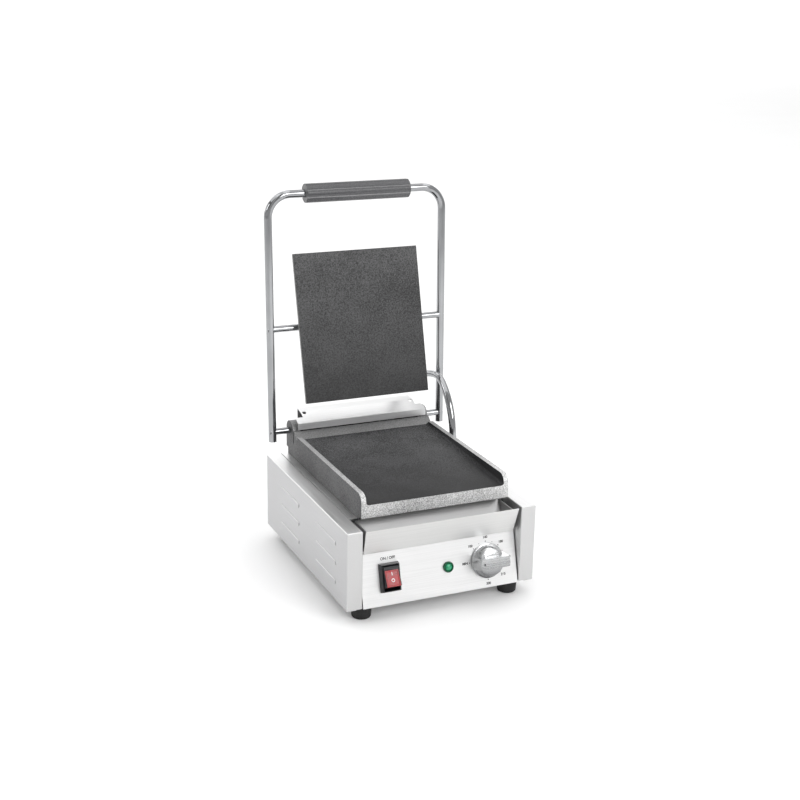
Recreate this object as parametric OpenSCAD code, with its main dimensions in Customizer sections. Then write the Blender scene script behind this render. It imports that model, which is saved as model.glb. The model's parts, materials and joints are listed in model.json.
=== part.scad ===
/* [Body] */
// Width over the two side panels
body_w = 290; // [240:1:380]
// Depth from the front plane to the back of the side panels
body_d = 336; // [300:1:440]
// Height of the side panels
panel_h = 116; // [105:1:160]
// Width of the front and top strip of a side panel
strip_w = 23.2; // [20:0.2:34]
// Thickness of the stainless sheet
sheet_t = 1.2; // [0.8:0.1:2]
// Outside radius of the folds in the sheet
fold_r = 2; // [1:0.1:4]

/* [Louvres] */
// Length of one louvre
louvre_len = 80; // [50:1:90]
// Radius of a louvre's hood
louvre_r = 2.2; // [2:0.1:4]
// Height between two louvres
louvre_step = 29; // [20:1:34]
// Middle of the front group, from the front plane
louvre_front = 82; // [60:1:95]
// Middle of the rear group, from the back of the body
louvre_rear = 106; // [60:1:120]

/* [Feet] */
// Height of the feet below the side panels
foot_h = 20.5; // [12:0.5:35]
// Diameter of a foot
foot_d = 30; // [20:1:36]
// Distance of a foot's centre from the side of the body
foot_in_x = 30.5; // [30.5:0.5:60]
// Distance of a foot's centre from the front or the back
foot_in_y = 22; // [22:0.5:60]

/* [Control panel] */
// Lean of the control panel from upright, in degrees
panel_lean = 14.6; // [5:0.1:18]
// Rocker switch centre, from the middle of the body
switch_x = -78; // [-85:1:-60]
// Lamp centre, from the middle of the body
lamp_x = 12.6; // [-20:1:25]
// Knob centre, from the middle of the body
knob_x = 74; // [60:1:85]
// Height of the controls along the slope
control_s = 39; // [36:0.5:41]
// Knob skirt diameter
knob_d = 50; // [36:1:52]
// How far the knob stands out of the panel
knob_out = 29; // [20:1:34]
// Diameter of the lamp's bezel
lamp_d = 16; // [12:0.5:22]
// Diameter of the thermostat's spindle
spindle_d = 6; // [5:0.5:8]

/* [Drip tray] */
// Height of the tray's front
tray_h = 38; // [30:0.5:40]
// How far the tray's front leans in at the bottom
tray_lean = 12; // [6:0.5:16]
// Depth of the tray
tray_d = 56; // [40:1:70]

/* [Lower plate] */
// Width of the lower plate
plate_w = 226.8; // [190:0.2:230]
// Distance from the front plane to the lower plate
plate_front = 27.4; // [24:0.2:40]
// Height of the front lip of the lower plate
lip_h = 19; // [14:0.5:26]
// Gap between the deck and the underside of the front lip
lip_gap = 6.5; // [4:0.5:12]
// Rise of the cooking surface from front to back, in degrees
surface_fall = 2.2; // [0.5:0.1:3]
// Height of the side walls above the front of the surface
wall_h = 15.5; // [13:0.5:20]
// Thickness of a side wall at its top
wall_t = 7; // [6.5:0.1:7]
// Radius between the surface and a side wall
wall_r = 4; // [2:0.5:4.5]

/* [Lid] */
// Height of the hinge above the deck
hinge_h = 42.5; // [40:0.5:60]
// Distance of the hinge from the back of the body
hinge_in = 18; // [17:0.5:24]
// Hinge rod and pivot pin diameter
rod_d = 10; // [8:0.5:10]
// Diameter of the bent tube
tube_d = 12; // [12:0.5:14]
// Wall of the bent tube
tube_wall = 1.5; // [1:0.1:2]
// How far each arm's centre line stands in from the body's side
arm_in = 3.6; // [0:0.2:6]
// Lean of the open arms behind upright, in degrees
arm_lean = 2; // [0:0.5:8]
// Length of the arms from the hinge to the handle
arm_len = 362.5; // [340:0.5:440]
// Length of the arms below the hinge
arm_tail = 15; // [10:0.5:18]
// Centre line radius of the bends
bend_r = 34; // [25:1:45]
// Distance from the hinge to the plate's pivot
pivot_len = 160.7; // [150:0.1:180]
// Length of the handle grip
grip_len = 167; // [120:1:180]
// Diameter of the handle grip
grip_d = 29; // [24:0.5:34]
// Number of flutes round the grip
flutes = 8; // [6:1:12]

/* [Upper plate] */
// Width of the upper plate
upper_w = 203; // [170:1:203]
// Length of the upper plate
upper_len = 226; // [200:1:230]
// Lean of the upper plate from upright when open, in degrees
upper_lean = 14.8; // [0:0.1:18]
// Thickness of the upper plate
upper_t = 12; // [9:0.5:14]
// Distance from the upper plate's face to the pivot
pivot_back = 19; // [18:0.5:24]
// Height from the face to the top of the cover
cover_top = 38; // [34:0.5:44]
// Distance of the cover's sides from the plate's edge
cover_in = 14; // [8:0.5:20]

/* [Mains lead] */
// How far the mains lead's gland stands out of the rear panel
gland_out = 16; // [8:0.5:24]
// Bore of the mains lead's gland
gland_bore = 9; // [6:0.5:12]

/* [Conduit] */
// Diameter of the conduit
conduit_d = 11; // [8:0.5:11]

/* [Clearances] */
// Gap between sheet parts
gap = 0.3; // [0.1:0.05:0.6]
// Radial clearance of a turning fit
run_fit = 0.05; // [0.02:0.01:0.09]
// Radial clearance of a fixed fit
fix_fit = 0.02; // [0.01:0.01:0.1]

/* [Hidden] */
$fn = 48;

half_w = body_w / 2;
inner_x = half_w - strip_w;
arm_x = half_w - arm_in;
base_z = foot_h;
deck_z = foot_h + panel_h;
pan_z = base_z + sheet_t;
panel_half = inner_x - 1.5;
tray_top = deck_z - 1.5;
shelf_z = tray_top - tray_h - gap;
panel_top = shelf_z - sheet_t - 1.5;
panel_len = (panel_top - base_z) / cos(panel_lean);
panel_back = panel_len * sin(panel_lean);
rear_y = body_d - sheet_t;

plate_half = plate_w / 2;
lip_z = deck_z + lip_gap;
surface_z = lip_z + lip_h;
wall_z = surface_z + wall_h;
hinge_y = body_d - hinge_in;
surface_d = hinge_y - 30.6 - plate_front;
surface_end = plate_front + surface_d;
hinge_z = deck_z + hinge_h;
ear_r = rod_d / 2 + 10;
ear_t = 12;
ledge_z = deck_z + 26;
plate_back = hinge_y + ear_r;
rear_wall_z = surface_z + surface_d * tan(surface_fall) + 12;
cover_half = plate_half - 6.4;
pocket_z = deck_z + 14;
pocket_x = plate_half - 18;
pocket_y = plate_front + 24;
pocket_d = surface_d - 34;

upper_half = upper_w / 2;
upper_edge = 5;
lid_half = upper_half - cover_in;
block_t = 14;
pin_in = lid_half - sheet_t - block_t;
pin_len = arm_x + tube_d / 2 - tube_wall - gap - pin_in;
pivot_up = 3;

knob_front = -knob_out * cos(panel_lean) + (control_s - 7) * sin(panel_lean);
conduit_r = conduit_d / 2;
return_d = plate_front + 30;
gland_x = half_w - 16;
gland_y = hinge_y - 79;
route_join = [gland_x - 7.5, hinge_y + 9, hinge_z + 64.5];
exit_x = 80;
exit_along = -88;
rear_most = hinge_y + pivot_len * sin(arm_lean) + (cover_top - pivot_back) * cos(upper_lean)
    + (upper_len / 2 - pivot_up - cover_in) * sin(upper_lean);
origin_y = -(rear_most + knob_front) / 2;
mains_x = -80;
mains_z = base_z + 40;

// The conduit's route at rest: out of the cover's back, round to the side,
// forward past the upper plate's edge and down into the side panel.
exit_dir = [0, cos(upper_lean), -sin(upper_lean)];
route_exit = [exit_x,
    hinge_y + pivot_len * sin(arm_lean) + (cover_top - pivot_back) * cos(upper_lean)
    + exit_along * sin(upper_lean),
    hinge_z + pivot_len * cos(arm_lean) - (cover_top - pivot_back) * sin(upper_lean)
    + exit_along * cos(upper_lean)];
route_top = concat([for (run = [-3:3.5:14.5]) route_exit + run * exit_dir],
    [route_exit + [6, 23.5, -9.5], route_exit + [20, 27.5, -10.5],
        route_join + [-9, 14, -2.9], route_join]);
join_dir = [0.3204, -0.9311, 0.1802] / norm([0.3204, -0.9311, 0.1802]);
route_low = [route_join + 0.3 * join_dir, route_join + [4.5, -18, 3],
    [gland_x - 1.5, gland_y + 52, hinge_z + 66.5], [gland_x - 0.5, gland_y + 34.5, hinge_z + 54],
    [gland_x, gland_y + 17.5, hinge_z + 33], [gland_x, gland_y + 6.5, hinge_z + 9],
    [gland_x, gland_y + 1.5, hinge_z - 16], [gland_x, gland_y, deck_z]];

// Shared frame: the y origin is moved to the middle of the whole object.
module seat() {
    translate([0, origin_y, 0]) children();
}

// Frame of the sloping control panel: z runs up the slope and y runs inward.
module on_panel() {
    seat() translate([0, 0, base_z]) rotate([-panel_lean, 0, 0]) children();
}

// Frame of the lid's arms: z runs along the arms from the hinge.
module on_arms() {
    seat() translate([0, hinge_y, hinge_z]) rotate([-arm_lean, 0, 0]) children();
}

// Frame of the upper plate: the pivot is at the origin, z runs up the plate
// and y runs from the cooking face to the back.
module on_upper() {
    seat()
        translate([0, hinge_y + pivot_len * sin(arm_lean), hinge_z + pivot_len * cos(arm_lean)])
            rotate([-upper_lean, 0, 0])
                children();
}

module mirrored() {
    children();
    mirror([1, 0, 0]) children();
}

// A cylinder along x, from its low end.
module rod_x(r, length) {
    rotate([0, 90, 0]) cylinder(r = r, h = length);
}

// A cylinder along y, from its low end.
module rod_y(r, length) {
    rotate([-90, 0, 0]) cylinder(r = r, h = length);
}

// A rectangle with round corners, from its low corner.
module round_rect(w, h, r) {
    translate([r, 0]) square([w - 2 * r, h]);
    translate([0, r]) square([w, h - 2 * r]);
    for (x = [r, w - r], y = [r, h - r]) translate([x, y]) circle(r = r);
}

// A box with all upright edges and all edges along y rounded.
module round_box(w, d, h, r) {
    intersection() {
        linear_extrude(h) round_rect(w, d, r);
        translate([0, d, 0]) rotate([90, 0, 0]) linear_extrude(d) round_rect(w, h, r);
    }
}

// A slot with round ends along y, cut through along x.
module slot_x(length, r, depth) {
    rotate([90, 0, 90]) linear_extrude(depth) {
        square([length - 2 * r, 2 * r], center = true);
        for (s = [-1, 1]) translate([s * (length / 2 - r), 0]) circle(r = r);
    }
}

// The outer skin of a louvre: the upper half of a round bar with round ends.
module louvre_bar(r) {
    rod_y(r, louvre_len - 2 * louvre_r);
    for (y = [0, louvre_len - 2 * louvre_r]) translate([0, y, 0]) sphere(r = r);
}

module louvre() {
    translate([0, -louvre_len / 2 + louvre_r, 0]) difference() {
        louvre_bar(louvre_r);
        louvre_bar(louvre_r - 0.9);
        translate([-5, -10, -10]) cube([10, louvre_len + 20, 10]);
        translate([sheet_t - 0.4, -10, -5]) cube([10, louvre_len + 20, 20]);
    }
}

louvre_y = [louvre_front, body_d - louvre_rear];
louvre_z = [for (i = [-1:1]) base_z + panel_h / 2 - 2 + i * louvre_step];

pan_half = half_w - max(sheet_t, fold_r) - gap;

// A folded side panel: outer wall, top, bottom, front and rear strips.
module side_shell() {
    difference() {
        translate([-half_w, 0, base_z]) round_box(strip_w, body_d, panel_h, fold_r);
        translate([-half_w + sheet_t, sheet_t, base_z + sheet_t])
            round_box(strip_w + 20, body_d - 2 * sheet_t, panel_h - 2 * sheet_t,
                max(0.3, fold_r - sheet_t));
        translate([-inner_x - fold_r, -1, base_z - 1])
            cube([fold_r + 1, body_d + 2, panel_h + 2]);
        translate([-half_w + 14, foot_in_y - foot_d, base_z - 1])
            cube([strip_w, body_d - 2 * foot_in_y + 2 * foot_d, sheet_t + 1.1]);
        for (y = louvre_y, z = louvre_z)
            translate([-half_w - 1, y, z + louvre_r / 2 - 0.3])
                slot_x(louvre_len - 4, louvre_r / 2 - 0.3, sheet_t + 2);
    }
    // Square lips complete the strips out to the body's inner edge.
    translate([-inner_x - fold_r, 0, base_z + fold_r])
        cube([fold_r, sheet_t, panel_h - fold_r]);
    translate([-inner_x - fold_r, 0, deck_z - sheet_t])
        cube([fold_r, body_d, sheet_t]);
    translate([-inner_x - fold_r, body_d - sheet_t, base_z + fold_r])
        cube([fold_r, sheet_t, panel_h - fold_r]);
    // A return flange closes the front strip towards the tray and the controls.
    translate([-inner_x - sheet_t, 0, pan_z + sheet_t + gap])
        cube([sheet_t, return_d, deck_z - pan_z - sheet_t - gap]);
    for (y = louvre_y, z = louvre_z) translate([-half_w + 0.3, y, z]) louvre();
}

module left_side_panel() {
    color("silver") seat() side_shell();
}

module right_side_panel() {
    color("silver") seat() difference() {
        mirror([1, 0, 0]) side_shell();
        translate([gland_x, gland_y, deck_z - 5]) cylinder(r = conduit_r + gap, h = 10);
    }
}

foot_x = half_w - foot_in_x;
foot_places = [for (x = [-foot_x, foot_x], y = [foot_in_y, body_d - foot_in_y]) [x, y, 0]];
screw_r = 2.5;

module base_pan() {
    color("lightgray") seat() difference() {
        union() {
            translate([-pan_half, 4, pan_z])
                cube([2 * pan_half, rear_y - gap - 4, sheet_t]);
            translate([-inner_x + 4, rear_y - gap - sheet_t, pan_z])
                cube([2 * inner_x - 8, sheet_t, 14]);
        }
        for (p = foot_places) translate([p[0], p[1], pan_z - 1]) cylinder(r = screw_r + 0.1, h = 4);
        for (x = [-50:20:50], y = [110:40:230])
            translate([x - 6, y, pan_z - 1]) cube([12, 24, 4]);
        rear_holes();
    }
}

module rear_holes() {
    for (x = [-inner_x + 14, inner_x - 14])
        translate([x, rear_y - 5, pan_z + 8]) rod_y(1.6, 8);
}

module feet() {
    color("#222222") seat() for (p = foot_places) translate(p) difference() {
        union() {
            translate([0, 0, 3]) cylinder(d = foot_d, h = pan_z - 3);
            cylinder(d = foot_d - 6, h = 3);
            rotate_extrude() translate([foot_d / 2 - 3, 3]) circle(r = 3);
        }
        translate([0, 0, -1]) cylinder(r = screw_r + 0.1, h = pan_z + 2);
        translate([0, 0, -1]) cylinder(r = 6.5, h = 9);
    }
}

module foot_screws() {
    color("silver") seat() for (p = foot_places) translate([p[0], p[1], 0]) {
        translate([0, 0, 8]) cylinder(r = screw_r, h = pan_z + 2);
        translate([0, 0, 5]) cylinder(r = 5, h = 3);
        translate([0, 0, pan_z + sheet_t]) difference() {
            cylinder(r = 4.6, h = 4, $fn = 6);
            translate([0, 0, -1]) cylinder(r = screw_r - 0.05, h = 6);
        }
    }
}

// The deck carries the lower plate and closes the body between the side panels.
module top_deck() {
    color("gray") seat() difference() {
        union() {
            translate([-inner_x + gap, plate_front + 22, deck_z - sheet_t])
                cube([2 * inner_x - 2 * gap, rear_y - plate_front - 22 - gap, sheet_t]);
            for (s = [0, 1]) mirror([s, 0, 0])
                translate([-inner_x + gap, plate_front + 34, pan_z + sheet_t])
                    cube([sheet_t, rear_y - plate_front - 46, deck_z - pan_z - sheet_t]);
            translate([-inner_x + gap, plate_front + 34, shelf_z])
                cube([2 * inner_x - 2 * gap, sheet_t, deck_z - shelf_z]);
        }
        translate([-pocket_x, pocket_y, deck_z - 5]) cube([2 * pocket_x, pocket_d, 10]);
        translate([0, pocket_y + pocket_d + 12, deck_z - 5]) cylinder(r = 6, h = 10);
    }
}

module rear_panel() {
    color("silver") seat() difference() {
        translate([-inner_x + gap, rear_y, base_z])
            cube([2 * inner_x - 2 * gap, sheet_t, panel_h]);
        for (x = [-16:16:80])
            translate([x, rear_y - 1, base_z + 30]) rotate([-90, 0, 0]) linear_extrude(4) {
                translate([-2, -50]) square([4, 50]);
                for (z = [0, -50]) translate([0, z]) circle(r = 2);
            }
        translate([mains_x, rear_y - 1, mains_z]) rod_y(8 + gap, 4);
        rear_holes();
    }
}

module rear_screws() {
    color("silver") seat() for (x = [-inner_x + 14, inner_x - 14])
        translate([x, rear_y, pan_z + 8]) {
            translate([0, -4, 0]) rod_y(1.5, 4 + sheet_t);
            translate([0, sheet_t, 0]) rod_y(3.2, 2);
        }
}

// The gland for the mains lead, with its lock nut inside the rear panel.
module cable_gland() {
    color("#222222") seat() translate([mains_x, 0, mains_z]) difference() {
        union() {
            translate([0, rear_y - 8, 0]) rod_y(8, 10);
            translate([0, body_d, 0]) rotate([-90, 0, 0]) cylinder(r = 11.5, h = 5, $fn = 6);
            translate([0, body_d + 5, 0]) rod_y(9.5, gland_out - 5);
            translate([0, rear_y - 5, 0]) rotate([-90, 0, 0]) cylinder(r = 11.5, h = 5, $fn = 6);
        }
        translate([0, rear_y - 10, 0]) rod_y(gland_bore / 2, gland_out + 20);
    }
}

module terminal_block() {
    color("ivory") seat() translate([mains_x - 16, rear_y - 70, pan_z + sheet_t]) difference() {
        cube([32, 22, 16]);
        for (i = [0:2]) translate([6 + i * 10, 11, 8]) cylinder(r = 3, h = 10);
    }
}

switch_w = 30;
switch_h = 41;
switch_out = 8.5;
well_w = 24;
well_h = 36;
switch_wall = 2;

// The control panel is one folded sheet with a flange at the bottom and the top.
module panel_profile() {
    run = tan(panel_lean);
    wall = sheet_t / cos(panel_lean);
    polygon([[7, base_z], [0, base_z], [panel_back, panel_top], [panel_back + 12, panel_top],
        [panel_back + 12, panel_top - sheet_t],
        [(panel_top - sheet_t - base_z) * run + wall, panel_top - sheet_t],
        [sheet_t * run + wall, pan_z], [7, pan_z]]);
}

module control_panel() {
    color("silver") difference() {
        seat() translate([-panel_half, 0, 0]) rotate([90, 0, 90])
            linear_extrude(2 * panel_half) panel_profile();
        on_panel() {
            translate([switch_x - well_w / 2 - switch_wall - gap, -2,
                    control_s - well_h / 2 - switch_wall - gap])
                cube([well_w + 2 * switch_wall + 2 * gap, 6, well_h + 2 * switch_wall + 2 * gap]);
            translate([lamp_x, -2, control_s]) rod_y(lamp_d / 2 - 1.5, 6);
            translate([knob_x, -2, control_s]) rod_y(spindle_d / 2 + 1, 6);
        }
    }
}

// The tray runs on this shelf, above the controls.
module tray_shelf() {
    color("gray") seat() translate([0, 0, shelf_z - sheet_t])
        difference() {
            translate([-inner_x + gap, panel_back + 2, 0])
                cube([2 * inner_x - 2 * gap, plate_front + 34 - panel_back - 2, sheet_t]);
            for (x = [-60, 60]) translate([x, panel_back + 12, -1]) cylinder(r = 2, h = 4);
        }
}

// The switch housing: a deep frame outside the panel and a closed well behind it.
module switch_housing() {
    color("#222222") on_panel() translate([switch_x, 0, control_s]) difference() {
        union() {
            translate([-switch_w / 2, -switch_out, -switch_h / 2])
                round_box(switch_w, switch_out, switch_h, 2);
            translate([-well_w / 2 - switch_wall, -0.1, -well_h / 2 - switch_wall])
                cube([well_w + 2 * switch_wall, 20.1, well_h + 2 * switch_wall]);
        }
        translate([-well_w / 2, -switch_out - 1, -well_h / 2]) cube([well_w, 24.6, well_h]);
    }
}

rocker_w = 23;
rocker_tilt = 12;
rocker_face = 12;
rocker_half = 15.5;

// The rocker turns about x; its shape is drawn level, then tipped to rest.
module rocker_profile() {
    polygon([[-rocker_face, 0], [-rocker_face - 2, 1.5 - rocker_half], [-3, -rocker_half],
        [5, -6], [5, 6], [-3, rocker_half], [-rocker_face - 2, rocker_half - 1.5]]);
}

module in_rocker() {
    on_panel() translate([switch_x, 0, control_s]) rotate([-rocker_tilt, 0, 0])
        children();
}

module rocker_solid() {
    translate([-rocker_w / 2, 0, 0]) rotate([90, 0, 90]) linear_extrude(rocker_w) rocker_profile();
}

lens_deep = 6;

module lens_block() {
    translate([-rocker_w / 2 + 1.2, -rocker_face - 6, -rocker_half + 1])
        cube([rocker_w - 2.4, lens_deep + 4, rocker_half + 8]);
}

module rocker() {
    color("#2a2a2a") in_rocker() difference() {
        rocker_solid();
        lens_block();
    }
}

module rocker_lens() {
    color("crimson") in_rocker() intersection() {
        rocker_solid();
        lens_block();
    }
}

module lamp_bezel() {
    color("darkgreen") on_panel() translate([lamp_x, 0, control_s]) difference() {
        union() {
            translate([0, -2.5, 0]) rod_y(lamp_d / 2, 2.5);
            rod_y(lamp_d / 2 - 1.8, 16);
        }
        translate([0, -4, 0]) rod_y(lamp_d / 2 - 2.6, 18);
    }
}

module lamp_lens() {
    color("limegreen") on_panel() translate([lamp_x, 0, control_s]) {
        rod_y(lamp_d / 2 - 2.6 - fix_fit, 14);
        translate([0, -2.5, 0]) rod_y(lamp_d / 2 - 2.6 - fix_fit, 2.6);
        translate([0, -2.5, 0]) intersection() {
            translate([0, 4, 0]) sphere(r = sqrt(16 + pow(lamp_d / 2 - 2.7, 2)));
            translate([0, -3, 0]) rod_y(lamp_d / 2 - 2.7, 3.1);
        }
    }
}

thermo_in = 8;

// The thermostat hangs behind the panel, around its spindle.
module thermostat() {
    color("tan") on_panel() translate([knob_x, 0, control_s]) difference() {
        union() {
            translate([-18, sheet_t + 0.1, -18]) cube([36, 1.5, 36]);
            translate([-16, sheet_t + 1.5, -16]) cube([32, 30, 32]);
        }
        translate([0, -1, 0]) rod_y(spindle_d / 2 + run_fit, thermo_in + 1);
    }
}

module spindle() {
    color("silver") on_panel() translate([knob_x, -knob_out + 8, control_s])
        rod_y(spindle_d / 2, knob_out - 8 + thermo_in - 0.5);
}

// The knob: a flat skirt, a cone and a bar grip that points at the scale.
module knob() {
    color("gainsboro") on_panel() translate([knob_x, 0, control_s]) difference() {
        union() {
            translate([0, -4, 0]) rod_y(knob_d / 2, 3);
            translate([0, -4, 0]) rotate([90, 0, 0])
                cylinder(r1 = knob_d / 2 - 1.5, r2 = knob_d / 2 - 6, h = 10);
            intersection() {
                translate([-knob_d / 2, -knob_out, -7]) cube([knob_d, knob_out - 3, 14]);
                translate([0, -3, 0]) rotate([90, 0, 0])
                    cylinder(r1 = knob_d / 2 + 4, r2 = knob_d / 2 - 7, h = knob_out);
            }
        }
        translate([0, -knob_out + 8, 0]) rod_y(spindle_d / 2 + fix_fit, knob_out);
    }
}

tray_flat = 26;
tray_low = 4;
tray_half = inner_x - 4;
tray_in = tray_half - 5;

// The drip tray: a leaning front and an open trough behind it.
module drip_tray() {
    color("silver") seat() translate([0, 0, tray_top - tray_h]) {
        difference() {
            translate([-tray_half, 0, 0]) rotate([90, 0, 90]) linear_extrude(2 * tray_half)
                polygon([[tray_lean, 0], [tray_lean + sheet_t, 0], [sheet_t, tray_h], [0, tray_h]]);
            for (s = [0, 1]) mirror([s, 0, 0])
                translate([-tray_half, -1, 0]) rotate([0, -2.6, 0])
                    translate([-10, 0, -2]) cube([10, tray_lean + 4, tray_h + 8]);
        }
        difference() {
            translate([-tray_in, 0, 0]) rotate([90, 0, 90]) linear_extrude(2 * tray_in)
                polygon([[tray_lean + sheet_t - 0.2, 0.4], [tray_flat, 0.4],
                    [tray_d, tray_h - tray_low],
                    [tray_lean * tray_low / tray_h + sheet_t - 0.2, tray_h - tray_low]]);
            translate([-tray_in + sheet_t, 0, 0]) rotate([90, 0, 90])
                linear_extrude(2 * (tray_in - sheet_t))
                    polygon([[tray_lean + sheet_t - 0.5, 1.6], [tray_flat - 0.6, 1.6],
                        [tray_d - 1.8, tray_h - tray_low], [tray_d - 1.8, tray_h + 1],
                        [sheet_t - 0.4, tray_h + 1]]);
        }
    }
}

// The space above the cooking surface: level across, falling to the front,
// with a large radius up to each side wall.
module surface_cut() {
    flat = plate_half - wall_t - wall_r;
    translate([0, plate_front, surface_z]) rotate([surface_fall, 0, 0]) translate([0, -5, 0]) {
        translate([-flat, 0, 0]) cube([2 * flat, surface_d + 5, 40]);
        translate([-flat - wall_r, 0, wall_r])
            cube([2 * flat + 2 * wall_r, surface_d + 5, 40]);
        for (s = [-1, 1]) translate([s * flat, 0, wall_r]) rod_y(wall_r, surface_d + 5);
    }
}

// The lower plate is one iron casting with side walls, a rear wall and two hinge ears.
module lower_plate() {
    color("#3c3c3c") seat() difference() {
        union() {
            translate([-plate_half, plate_front, lip_z])
                cube([plate_w, surface_d + 12, wall_z - lip_z]);
            translate([-plate_half, plate_front + 14, deck_z])
                cube([plate_w, plate_back - plate_front - 14, ledge_z - deck_z]);
            translate([-plate_half, surface_end - 1, ledge_z - 1])
                cube([plate_w, 13, rear_wall_z - ledge_z + 1]);
            mirrored() translate([plate_half - ear_t, 0, 0]) {
                translate([0, hinge_y, hinge_z]) rod_x(ear_r, ear_t);
                translate([0, hinge_y - ear_r, ledge_z - 1])
                    cube([ear_t, 2 * ear_r, hinge_z - ledge_z + 1]);
            }
        }
        surface_cut();
        translate([-plate_half - 1, plate_front - 8, wall_z]) rotate([-38, 0, 0])
            translate([0, -20, 0]) cube([plate_w + 2, 30, 30]);
        translate([-plate_half - 1, surface_end - 1, rear_wall_z - 12]) rotate([-52, 0, 0])
            translate([0, -20, 0]) cube([plate_w + 2, 20, 40]);
        translate([-pocket_x, pocket_y, deck_z - 1]) cube([2 * pocket_x, pocket_d, pocket_z - deck_z + 1]);
        translate([-plate_half - 1, hinge_y, hinge_z]) rod_x(rod_d / 2 + run_fit, plate_w + 2);
        translate([-40, plate_back - 20, deck_z + 9]) rod_y(2, 30);
        translate([40, plate_back - 20, deck_z + 9]) rod_y(2, 30);
    }
}

element_r = 4;

// A tubular heating element: two long legs a side joined by bends.
module element(half_x, length, step) {
    for (i = [0:3]) translate([-half_x + i * step, 0, 0]) rod_y(element_r, length);
    for (i = [0, 2]) translate([-half_x + i * step + step / 2, length, 0])
        rotate_extrude(angle = 180) translate([step / 2, 0]) circle(r = element_r);
    rotate([0, 0, 180])
        rotate_extrude(angle = 180) translate([step / 2, 0]) circle(r = element_r);
}

element_step = 44;

module lower_element() {
    color("dimgray") seat()
        translate([0, pocket_y + 30, pocket_z - element_r - gap])
            element(1.5 * element_step, pocket_d - 64, element_step);
}

module lower_clamp() {
    color("silver") seat() translate([0, 0, pocket_z - 2 * element_r - 2 * gap - 2]) {
        for (y = [pocket_y + 50, pocket_y + pocket_d - 62])
            translate([-pocket_x + gap, y, 0]) cube([2 * pocket_x - 2 * gap, 14, 2]);
        for (y = [pocket_y + 57, pocket_y + pocket_d - 55], x = [-element_step, element_step])
            translate([x, y, 0]) cylinder(r = 3, h = 2 * element_r + 2 * gap + 2);
    }
}

module thermostat_bulb() {
    color("peru") seat()
        translate([0, pocket_y + 50, pocket_z - 3 - gap]) rod_y(3, 100);
}

crease_in = 17.6;

// The folded cover over the hinge rod and its springs.
module cover_profile(t) {
    front = surface_end + 9.6;
    top_z = rear_wall_z + 10.5;
    back = body_d + 0.2;
    polygon([[front + t, rear_wall_z + t / 4], [front + t, top_z - t / 4],
        [front + 23, top_z + 10.5 - t], [back - t, top_z + 12.5 - t], [back - t, deck_z + 2],
        [back, deck_z + 2], [back, top_z + 12.5], [front + 23, top_z + 10.5], [front, top_z],
        [front, rear_wall_z + t / 4]]);
}

module hinge_cover() {
    color("silver") seat() difference() {
        translate([-cover_half, 0, 0]) rotate([90, 0, 90])
            linear_extrude(2 * cover_half) cover_profile(sheet_t);
        // The ends are cut back behind the front fold, with a relief at the upper fold.
        mirrored() {
            translate([cover_half - 12.5, surface_end + 22, deck_z]) cube([20, 60, 90]);
            translate([cover_half - 2.5, surface_end + 18, deck_z + 30]) cube([20, 6, 60]);
            translate([cover_half - crease_in, surface_end + 31, rear_wall_z + 8])
                cylinder(r = 3.2, h = 30);
            translate([cover_half, surface_end, rear_wall_z - 2.2]) rotate([0, 45, 0])
                cube([5, 15, 5]);
        }
        for (x = [-40, 40]) translate([x, body_d - 4, deck_z + 9]) rod_y(2.2, 8);
    }
}

module cover_screws() {
    color("silver") seat() for (x = [-40, 40]) translate([x, body_d + 0.2, deck_z + 9]) {
        translate([0, -14, 0]) rod_y(1.9, 14);
        rod_y(3.6, 2.2);
    }
}

rod_reach = arm_x + tube_d / 2 - tube_wall - gap;

module hinge_rod() {
    color("gainsboro") on_arms() translate([-rod_reach, 0, 0]) rod_x(rod_d / 2, 2 * rod_reach);
}

wire_r = 1.25;
spring_r = rod_d / 2 + 1.2 + wire_r;

// Close-wound turns of the two lid springs.
module torsion_springs() {
    color("dimgray") on_arms() for (x = [-62, 34], i = [0:10])
        translate([x + i * (2 * wire_r - 0.1), 0, 0]) rotate([0, 90, 0])
            rotate_extrude() translate([spring_r, 0]) circle(r = wire_r, $fn = 16);
}

// One bent tube: two arms, two bends and the bar between them.
module bail(r) {
    mirrored() {
        translate([arm_x, 0, -arm_tail]) cylinder(r = r, h = arm_len - bend_r + arm_tail);
        translate([arm_x - bend_r, 0, arm_len - bend_r]) rotate([90, 0, 0])
            rotate_extrude(angle = 90) translate([bend_r, 0]) circle(r = r);
    }
    translate([-arm_x + bend_r, 0, arm_len]) rod_x(r, 2 * (arm_x - bend_r));
}

module lid_frame() {
    color("gainsboro") on_arms() difference() {
        bail(tube_d / 2);
        bail(tube_d / 2 - tube_wall);
        mirrored() translate([arm_x - tube_d, 0, -arm_tail - 1])
            translate([tube_d, 0, 0]) cylinder(r = tube_d / 2 - tube_wall, h = 4);
        for (z = [0, pivot_len]) translate([-rod_reach - gap, 0, z])
            rod_x(rod_d / 2 + fix_fit, 2 * rod_reach + 2 * gap);
    }
}

module handle_grip() {
    color("#2b2b2b") on_arms() translate([-grip_len / 2, 0, arm_len]) difference() {
        rod_x(grip_d / 2, grip_len);
        translate([-1, 0, 0]) rod_x(tube_d / 2 + fix_fit, grip_len + 2);
        for (i = [0:flutes - 1]) rotate([i * 360 / flutes, 0, 0])
            translate([-1, 0, grip_d / 2 + 1.6]) rod_x(3.4, grip_len + 2);
    }
}

module pivot_pins() {
    color("gainsboro") seat()
        translate([0, hinge_y + pivot_len * sin(arm_lean), hinge_z + pivot_len * cos(arm_lean)])
            mirrored() translate([pin_in, 0, 0]) rod_x(rod_d / 2, pin_len);
}

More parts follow.
